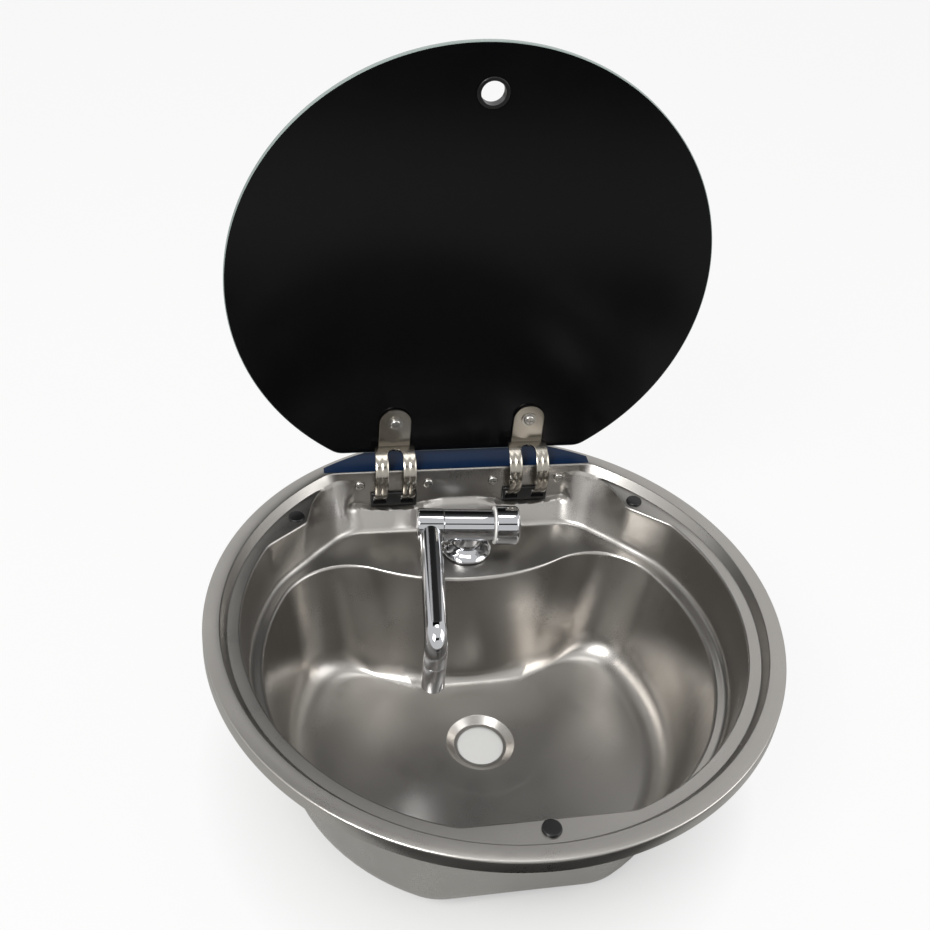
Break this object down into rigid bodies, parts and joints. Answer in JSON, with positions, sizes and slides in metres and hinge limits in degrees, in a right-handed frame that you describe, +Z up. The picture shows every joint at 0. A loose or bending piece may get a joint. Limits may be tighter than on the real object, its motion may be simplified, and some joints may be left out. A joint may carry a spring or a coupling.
{
  "type": "drop-in sink",
  "caption": "Round pressed steel drop-in sink with a black glass lid on two curved hinge arms and a small folding cold-water tap.",
  "frame": {"origin": "centre of the waste hole, on the outer face of the bowl's lowest point", "axes": "+Z up, -Y towards the front of the sink, +X to the right seen from the front"},
  "size_m": [0.4199, 0.42, 0.5125],
  "materials": {
    "bowl_steel": "fine satin, pressed stainless sheet",
    "seal_rubber": "matte",
    "bumper_rubber": "satin",
    "black_plastic": "matte",
    "hinge_steel": "polished strip",
    "screw_steel": "polished",
    "pad_rubber": "satin",
    "cap_chrome": "mirror polished",
    "lid_glass": "gloss black, polished edge",
    "tap_chrome": "mirror polished",
    "brass": "machined",
    "copper": "drawn tube",
    "aerator_plastic": "moulded",
    "ring_plastic": "moulded"
  },
  "bodies": {
    "bowl": {"sink_bowl": "bowl_steel", "rim_seal": "seal_rubber", "tap_seal": "seal_rubber", "bumper_front": "bumper_rubber", "bumper_left": "bumper_rubber", "bumper_right": "bumper_rubber", "hinge_bush_left": "black_plastic", "hinge_bracket_left": "hinge_steel", "hinge_pin_left": "hinge_steel", "wall_screw_left_left": "screw_steel", "wall_screw_left_right": "screw_steel", "wall_nut_left_left": "screw_steel", "wall_nut_left_right": "screw_steel", "hinge_bush_right": "black_plastic", "hinge_bracket_right": "hinge_steel", "hinge_pin_right": "hinge_steel", "wall_screw_right_left": "screw_steel", "wall_screw_right_right": "screw_steel", "wall_nut_right_left": "screw_steel", "wall_nut_right_right": "screw_steel", "tap_flange": "tap_chrome", "tap_shank": "brass", "deck_nut": "brass", "deck_washer": "seal_rubber", "inlet_pipe": "copper"},
    "lid": {"lid_glass": "lid_glass", "finger_grommet": "pad_rubber", "hinge_arm_left": "hinge_steel", "lid_pad_left": "pad_rubber", "lid_washer_left": "screw_steel", "lid_screw_left": "screw_steel", "lid_cap_left": "cap_chrome", "hinge_arm_right": "hinge_steel", "lid_pad_right": "pad_rubber", "lid_washer_right": "screw_steel", "lid_screw_right": "screw_steel", "lid_cap_right": "cap_chrome"},
    "tap_head": {"tap_body": "tap_chrome"},
    "spout_arm": {"spout": "tap_chrome", "collar_cap": "tap_chrome", "nozzle": "tap_chrome", "aerator": "aerator_plastic"},
    "knob_set": {"knob": "tap_chrome", "knob_ring": "ring_plastic", "spindle": "brass"}
  },
  "joints": [
    {"name": "lid_hinge", "type": "hinge", "parent": "bowl", "child": "lid", "pos_m": [0, 0.177, 0.144], "axis": [1, 0, 0], "range_deg": [0, 90]},
    {"name": "tap_swivel", "type": "hinge", "parent": "bowl", "child": "tap_head", "pos_m": [0, 0.12, 0.1275], "axis": [0, 0, 1], "range_deg": [-20, 25]},
    {"name": "spout_fold", "type": "hinge", "parent": "tap_head", "child": "spout_arm", "pos_m": [0, 0.12, 0.1275], "axis": [0.9962, -0.0872, 0], "range_deg": [-8, 12]},
    {"name": "knob_turn", "type": "hinge", "parent": "tap_head", "child": "knob_set", "pos_m": [0, 0.12, 0.1275], "axis": [0.9962, -0.0872, 0], "range_deg": [0, 90]}
  ]
}
